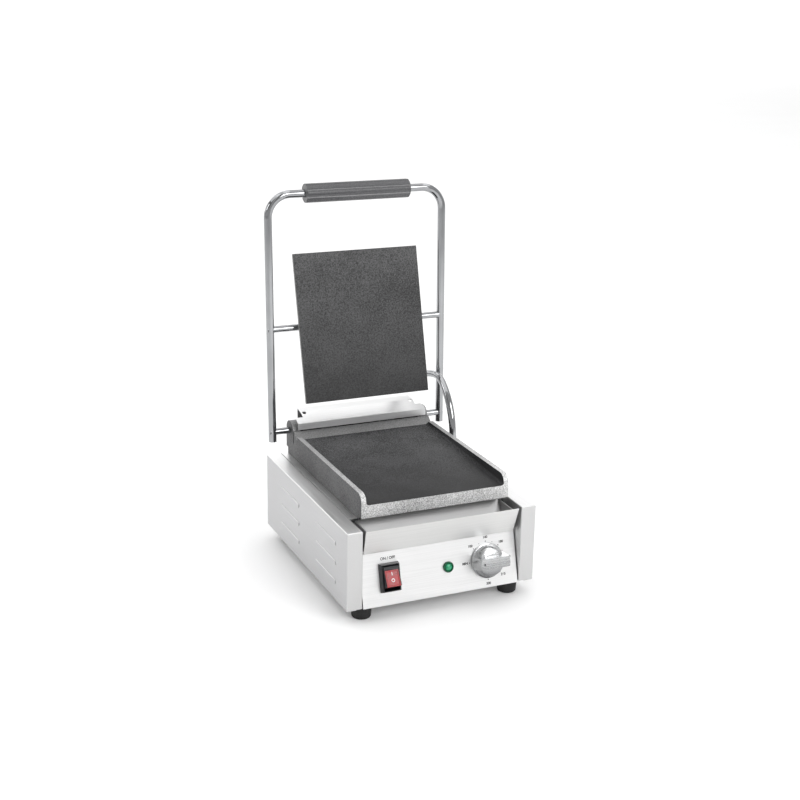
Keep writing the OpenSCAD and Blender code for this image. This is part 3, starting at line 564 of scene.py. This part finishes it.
def switch_frame():
    """The rocker switch's moulded frame, with a raised lip round its well."""
    piece = block(mmv(-15, -20.5, 0), mmv(15, 20.5, 8.5))
    merge(piece, block(mmv(-13.8, -19.8, -20), mmv(13.8, 19.8, 1)))
    select_faces(piece, lambda c, n: n.z > 0.9 and c.z > 8 * mm)
    bpy.ops.transform.resize(value=(0.9, 0.93, 1), center_override=(0, 0, 8.5 * mm))
    bpy.ops.object.mode_set(mode="OBJECT")
    cut(piece, block(mmv(-12, -18, -17), mmv(12, 18, 20)))
    round_edges(piece, 0.9 * mm, 3, 30)
    shade(piece)
    hand_over(on_panel(piece, -78, 39), "switch_frame", "base", black_abs, "black_plastic",
              "switch_housing")


def rocker_key():
    """The rocker, resting with its lower end out: black above, a red lens below."""
    outline = [(-15.5, 3.0), (-14.0, 14.2), (9.0, 12.2), (14.0, 13.4), (15.5, 3.0),
               (6.0, -5.0), (-6.0, -5.0)]
    clear_selection()
    bpy.ops.mesh.primitive_plane_add(size=1)
    piece = bpy.context.object
    bpy.ops.object.mode_set(mode="EDIT")
    bpy.ops.mesh.select_mode(type="VERT")
    bpy.ops.mesh.select_all(action="SELECT")
    bpy.ops.mesh.merge(type="CENTER")
    here = Vector((0, 0, 0))
    for index, (along, out) in enumerate(outline):
        goal = mmv(-11.5, along, out)
        if index == 0:
            bpy.ops.transform.translate(value=goal - here)
        else:
            bpy.ops.mesh.extrude_region_move(TRANSFORM_OT_translate={"value": goal - here})
        here = goal
    bpy.ops.mesh.select_all(action="SELECT")
    bpy.ops.mesh.edge_face_add()
    bpy.ops.mesh.extrude_region_move(TRANSFORM_OT_translate={"value": mmv(23, 0, 0)})
    bpy.ops.mesh.select_all(action="SELECT")
    bpy.ops.mesh.normals_make_consistent(inside=False)
    bpy.ops.object.mode_set(mode="OBJECT")
    lens_hole = block(mmv(-10.3, -14.5, 8), mmv(10.3, 9.0, 20))
    lens = block(mmv(-10.3, -14.4, 8), mmv(10.3, 9.0, 20))
    apply_modifier(lens, "BOOLEAN", operation="INTERSECT", solver="EXACT", object=piece)
    cut(piece, lens_hole)
    round_edges(piece, 0.6 * mm, 2, 30)
    # A raised border stands round the lens's face.
    select_faces(lens, lambda c, n: n.z > 0.85)
    bpy.ops.mesh.inset(thickness=1.6 * mm, depth=0)
    bpy.ops.mesh.inset(thickness=0.4 * mm, depth=-0.5 * mm)
    bpy.ops.object.mode_set(mode="OBJECT")
    round_edges(lens, 0.35 * mm, 2, 30)
    tip = Matrix.Rotation(math.radians(-12), 4, "X")
    for made, name, finish, slot, node in (
            (piece, "rocker_key", black_abs, "black_plastic", "rocker"),
            (lens, "rocker_window", red_pc, "red_plastic", "rocker_lens")):
        made.matrix_world = tip @ made.matrix_world
        shade(settle(made))
        hand_over(on_panel(made, -78, 39), name, "switch_rocker", finish, slot, node)
    stroke = block(mmv(-0.6, 1.6, -0.4), mmv(0.6, 6.4, 0.25))
    circle = turned([(2.6, -0.4), (1.6, -0.4), (1.6, 0.25), (2.6, 0.25)], 32)
    circle.matrix_world = Matrix.Translation(mmv(0, -5.4, 0))
    marks = join([round_edges(stroke, 0.1 * mm, 2), settle(circle)])
    marks.matrix_world = (tip @ Matrix.Translation(mmv(0, 0, 12.98 - 0.42))
                          @ Matrix.Rotation(math.radians(-4.97), 4, "X") @ marks.matrix_world)
    hand_over(on_panel(shade(settle(marks)), -78, 39), "rocker_marks", "switch_rocker",
              white_ink, "red_plastic")


def pilot_lamp():
    """The lamp: a dark rim and a cut lens."""
    rim = turned([(8.0, 0.0), (8.0, 1.8), (7.4, 2.8), (6.0, 2.8), (5.4, 2.0), (5.4, -12.0),
                  (6.1, -12.0), (6.1, 0.0)], 48)
    hand_over(on_panel(shade(rim), 12.6, 39), "lamp_rim", "base", green_rim, "green_plastic",
              "lamp_bezel")
    lens = turned([(0.0, 4.4), (1.8, 4.8), (3.6, 4.2), (4.9, 3.0), (5.3, 1.8), (5.3, -11.0),
                   (0.0, -11.0)], 8)
    hand_over(on_panel(lens, 12.6, 39), "lamp_window", "base", green_pc, "green_plastic",
              "lamp_lens")


# ---------------------------------------------------------------- side panels

def side_panel(side, node):
    """A folded side panel with soft edges and two groups of three pressed louvres."""
    outer, inner = side * 145.0, side * 121.8

    def span(x0, x1, y0, y1, z0, z1):
        low_x, high_x = sorted((x0, x1))
        return block(at(low_x, y0, z0), at(high_x, y1, z1))

    piece = span(outer, inner, 0, 336, 20.5, 136.5)
    round_edges(piece, 1.6 * mm, 3, 50)
    cut(piece, span(outer - side * 1.2, inner + side * 1.2, 1.2, 334.8, 21.7, 135.3))
    cut(piece, span(outer - side * 4, inner - side * 5, 58, 334.8, 21.7, 135.3))
    cut(piece, span(outer - side * 14, inner - side * 5, -5, 341, 10, 21.8))
    if side > 0:
        cut(piece, bar(at(129, 239, 130), at(129, 239, 140), 5.8 * mm, 40))
    louvres = []
    for middle in (82, 230):
        for height in (105.5, 76.5, 47.5):
            hood = span(outer - side * 0.6, outer + side * 1.2, middle - 40, middle + 40,
                        height - 3.6, height + 3.6)
            bevel_where(hood, lambda a, b: abs(a.x - b.x) > 0.5 * mm, 3.5 * mm, 8)
            round_edges(hood, 1.2 * mm, 4, 60)
            louvres.append(hood)
    shade(piece, 30)
    piece = shade(join([piece] + louvres), 35)
    hand_over(piece, node + "_sheet", "base", [steel_side, steel_flank, steel_fold],
              "stainless_sheet", node)
    for face in piece.data.polygons:
        # Painted shade: the outward faces take the darker finish.
        flank, fold = face.normal.x * side > 0.75, face.normal.y < -0.7
        face.material_index = 1 if flank else 2 if fold else 0


# ---------------------------------------------------------------- drip tray

def fat_tray():
    """The drip tray: a leaning front and a folded trough with a sloping back."""
    sheet = 1.2
    face = block(at(-117.8, 0, 97), at(117.8, sheet, 135))
    select_faces(face, lambda c, n: n.z < -0.9)
    bpy.ops.transform.translate(value=mmv(0, 12, 0))
    bpy.ops.transform.resize(value=(116 / 117.8, 1, 1))
    bpy.ops.object.mode_set(mode="OBJECT")
    trough = block(at(-112.8, 12.9, 97.4), at(112.8, 26, 131))
    select_faces(trough, lambda c, n: n.z > 0.9)
    bpy.ops.transform.translate(value=mmv(0, 9.5, 0))
    bpy.ops.transform.resize(value=(1, 52.8 / 13.1, 1), center_override=at(0, 29.07, 131))
    bpy.ops.mesh.inset(thickness=sheet * mm, depth=0)
    bpy.ops.mesh.extrude_region_move(TRANSFORM_OT_translate={"value": mmv(0, 0, -32.4)})
    bpy.ops.transform.resize(value=(1, 10.7 / 50.4, 1), center_override=at(0, 16.98, 98.6))
    bpy.ops.object.mode_set(mode="OBJECT")
    for piece in (face, trough):
        round_edges(piece, 0.5 * mm, 2, 30)
    hand_over(shade(face), "fat_tray_face", "tray", steel_tray, "stainless_sheet", "drip_tray")
    hand_over(shade(trough), "fat_tray_trough", "tray", steel_trough, "stainless_sheet",
              "drip_tray")


# ---------------------------------------------------------------- handle and feet

def fluted_grip():
    """The moulded grip: ten shallow flutes along it and chamfered ends."""
    piece = bar(mmv(-83.5, 0, 362.5), mmv(83.5, 0, 362.5), 14.5 * mm, 120)
    round_edges(piece, 1.4 * mm, 2, 60)
    for index in range(10):
        angle = 2 * math.pi * (index + 0.35) / 10
        y, z = 17.8 * math.cos(angle), 362.5 + 17.8 * math.sin(angle)
        cut(piece, bar(mmv(-90, y, z), mmv(90, y, z), 4.7 * mm, 40))
    cut(piece, bar(mmv(-90, 0, 362.5), mmv(90, 0, 362.5), 6.02 * mm, 48))
    round_edges(piece, 0.5 * mm, 2, 25)
    shade(on_arms(piece), 30)
    hand_over(piece, "fluted_grip", "lid", grip_plastic, "black_plastic", "handle_grip")


def rubber_feet():
    """Four moulded feet, each a tapered cup with a soft lower edge."""
    made = []
    for x in (-114.5, 114.5):
        for y in (22, 314):
            foot = turned([(6.5, 9.0), (6.5, 0.6), (7.1, 0.0), (11.6, 0.0), (12.9, 0.5),
                           (13.7, 1.9), (14.4, 12.0), (15.0, 15.0), (15.0, 20.4), (2.6, 20.4),
                           (2.6, 9.0)], 48)
            foot.matrix_world = Matrix.Translation(at(x, y, 0))
            made.append(settle(foot))
    hand_over(shade(join(made)), "rubber_feet", "base", rubber, "black_rubber", "feet")


# ---------------------------------------------------------------- conduit

EXIT = Vector((80, 319.5, 249.67))
OUT = Vector((0, math.cos(plate_lean), -math.sin(plate_lean)))
UPPER_ROUTE = [EXIT + run * OUT for run in (-3, 0.5, 4, 7.5, 11, 14.5)] + [
    Vector(p) for p in ((86, 343, 240.2), (100, 347, 239.2), (112.5, 341, 240.6),
                        (121.5, 327, 243.5))]
LOWER_ROUTE = [Vector(p) for p in (
    (121.5, 327, 243.5), (126, 309, 246.5), (127.5, 291, 245.5), (128.5, 273.5, 233),
    (129, 256.5, 212), (129, 245.5, 188), (129, 240.5, 163), (129, 239, 130))]


def smooth_route(points, steps):
    """More points on a smooth curve through the given ones."""
    last = len(points) - 1
    made = []
    for i in range(last):
        a, b, c, d = (points[max(i - 1, 0)], points[i], points[i + 1], points[min(i + 2, last)])
        for k in range(steps):
            t = k / steps
            made.append(0.5 * (2 * b + (c - a) * t + (2 * a - 5 * b + 4 * c - d) * t ** 2
                               + (3 * b - a - 3 * c + d) * t ** 3))
    return made + [points[-1]]


def conduit_run(points, name, node):
    """A round metal conduit along a route."""
    clear_selection()
    bpy.ops.curve.primitive_nurbs_path_add(location=(0, 0, 0))
    run = bpy.context.object
    line = run.data
    line.splines.clear()
    spline = line.splines.new("POLY")
    spline.points.add(len(points) - 1)
    for point, place in zip(spline.points, points):
        point.co = (*at(*place), 1)
    line.dimensions = "3D"
    line.bevel_depth = 5.5 * mm
    line.bevel_resolution = 10
    line.use_fill_caps = True
    only(run)
    bpy.ops.object.convert(target="MESH")
    piece = shade(bpy.context.object)
    piece.name = name
    piece.data.name = name
    piece.data.materials.clear()
    piece.data.materials.append(chrome)
    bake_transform(piece)
    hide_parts(node)


# ---------------------------------------------------------------- printed marks

def print_text(words, x, up, size):
    """Printed words on the panel, a hair proud of the sheet."""
    clear_selection()
    bpy.ops.object.text_add(location=(0, 0, 0))
    mark = bpy.context.object
    mark.data.body = words
    mark.data.size = size * mm
    mark.data.align_x = "CENTER"
    mark.data.align_y = "CENTER"
    mark.data.extrude = 0.04 * mm
    mark.data.offset = 0.16 * mm
    only(mark)
    bpy.ops.object.convert(target="MESH")
    mark = bpy.context.object
    mark.matrix_world = Matrix.Translation(mmv(0, 0, 0.06))
    return on_panel(settle(mark), x, up)


def panel_print():
    marks = [print_text("ON / OFF", -78, 65.6, 5.4)]
    for words, angle in (("MIN", 180), ("100", 135), ("140", 90), ("180", 45), ("220", 0),
                         ("260", -45), ("300", -90)):
        a = math.radians(angle)
        marks.append(print_text(words, 74 + 34.5 * math.cos(a), 39 + 33.5 * math.sin(a), 4.9))
    for angle in (180, 135, 112.5, 90, 67.5, 45, 22.5, 0, -45, -90):
        a = math.radians(angle)
        size = 0.55 if angle in (112.5, 67.5, 22.5) else 0.8
        dot = bar(mmv(0, 0, 0.02), mmv(0, 0, 0.1), size * mm, 20)
        marks.append(on_panel(dot, 74 + 27.6 * math.cos(a), 39 + 27.6 * math.sin(a)))
    hand_over(join(marks), "panel_print", "base", ink, "black_plastic")


# ---------------------------------------------------------------- making

lower_casting()
lid_casting()
dial_knob()
switch_frame()
rocker_key()
pilot_lamp()
side_panel(-1, "left_side_panel")
side_panel(1, "right_side_panel")
fat_tray()
fluted_grip()
rubber_feet()
conduit_run(smooth_route(LOWER_ROUTE, 6), "conduit_run_low", "conduit_lower")
conduit_run(smooth_route(UPPER_ROUTE, 6), "conduit_run_high",
            "conduit_upper")
panel_print()


# ---------------------------------------------------------------- floor and light

def lay_floor():
    clear_selection()
    bpy.ops.mesh.primitive_plane_add(size=120, location=(0, 3, 0))
    floor = bpy.context.object
    floor.name = "floor"
    pale, tree, shader, place = start_finish("pale_floor", Roughness=0.75)
    soft = add(tree, "ShaderNodeTexNoise", {"Vector": place, "Scale": 3.0})
    tint = add(tree, "ShaderNodeMix", {"Factor": soft.outputs["Fac"], "A": colour("#f6f6f6"),
                                       "B": colour("#fafafa")}, data_type="RGBA")
    tree.links.new(tint.outputs["Result"], shader.inputs["Base Color"])
    floor.data.materials.append(pale)


def softbox(name, place, aim, size, power):
    clear_selection()
    bpy.ops.object.light_add(type="AREA", location=place)
    light = bpy.context.object
    light.name = name
    light.data.shape = "RECTANGLE"
    light.data.size, light.data.size_y = size
    light.data.energy = power
    aim = Vector(aim) - Vector(place)
    light.rotation_euler = aim.to_track_quat("-Z", "Y").to_euler()


lay_floor()
softbox("key", (0.9, -2.4, 1.7), (0, 0, 0.2), (1.4, 1.2), 34)
softbox("side", (-2.2, 0.2, 1.6), (0, 0, 0.2), (0.8, 0.8), 7)
softbox("top", (0.0, 2.0, 5.0), (0, 2, 0), (9.0, 9.0), 260)
softbox("far_floor", (8.0, 34.0, 5.0), (8, 34, 0), (70.0, 52.0), 11600)


def light_room():
    """A pale room, plain near the horizon. Higher up it has darker upright strips, so that
    bright metal has something to show."""
    room = bpy.data.worlds.new("studio")
    bpy.context.scene.world = room
    room.use_nodes = True
    tree = room.node_tree
    ways = add(tree, "ShaderNodeTexCoord").outputs["Generated"]
    split = add(tree, "ShaderNodeSeparateXYZ", {0: ways})
    across = add(tree, "ShaderNodeMapRange", {"Value": split.outputs["X"], "From Min": -1.0,
                                              "From Max": 1.0})
    strips = add(tree, "ShaderNodeValToRGB", {"Fac": across.outputs[0]})
    ramp = strips.color_ramp
    ramp.elements[0].color = (0.5, 0.5, 0.5, 1)
    ramp.elements[1].color = (0.55, 0.55, 0.55, 1)
    for place, level in ((0.12, 0.35), (0.3, 0.4), (0.34, 1.0), (0.41, 1.0), (0.45, 0.12),
                         (0.49, 0.12), (0.53, 0.9), (0.62, 1.0), (0.66, 0.12), (0.71, 0.12),
                         (0.75, 0.9), (0.9, 0.7)):
        stop = ramp.elements.new(place)
        stop.color = (level, level, level, 1)
    height = add(tree, "ShaderNodeMapRange", {"Value": split.outputs["Z"], "From Min": 0.15,
                                              "From Max": 0.4})
    walls = add(tree, "ShaderNodeMix", {"Factor": height.outputs[0], "A": [0.74, 0.74, 0.74, 1],
                                        "B": strips.outputs["Color"]}, data_type="RGBA")
    tree.links.new(walls.outputs["Result"], tree.nodes["Background"].inputs["Color"])
    tree.nodes["Background"].inputs["Strength"].default_value = 0.85


light_room()
bpy.context.scene.view_settings.view_transform = "Standard"
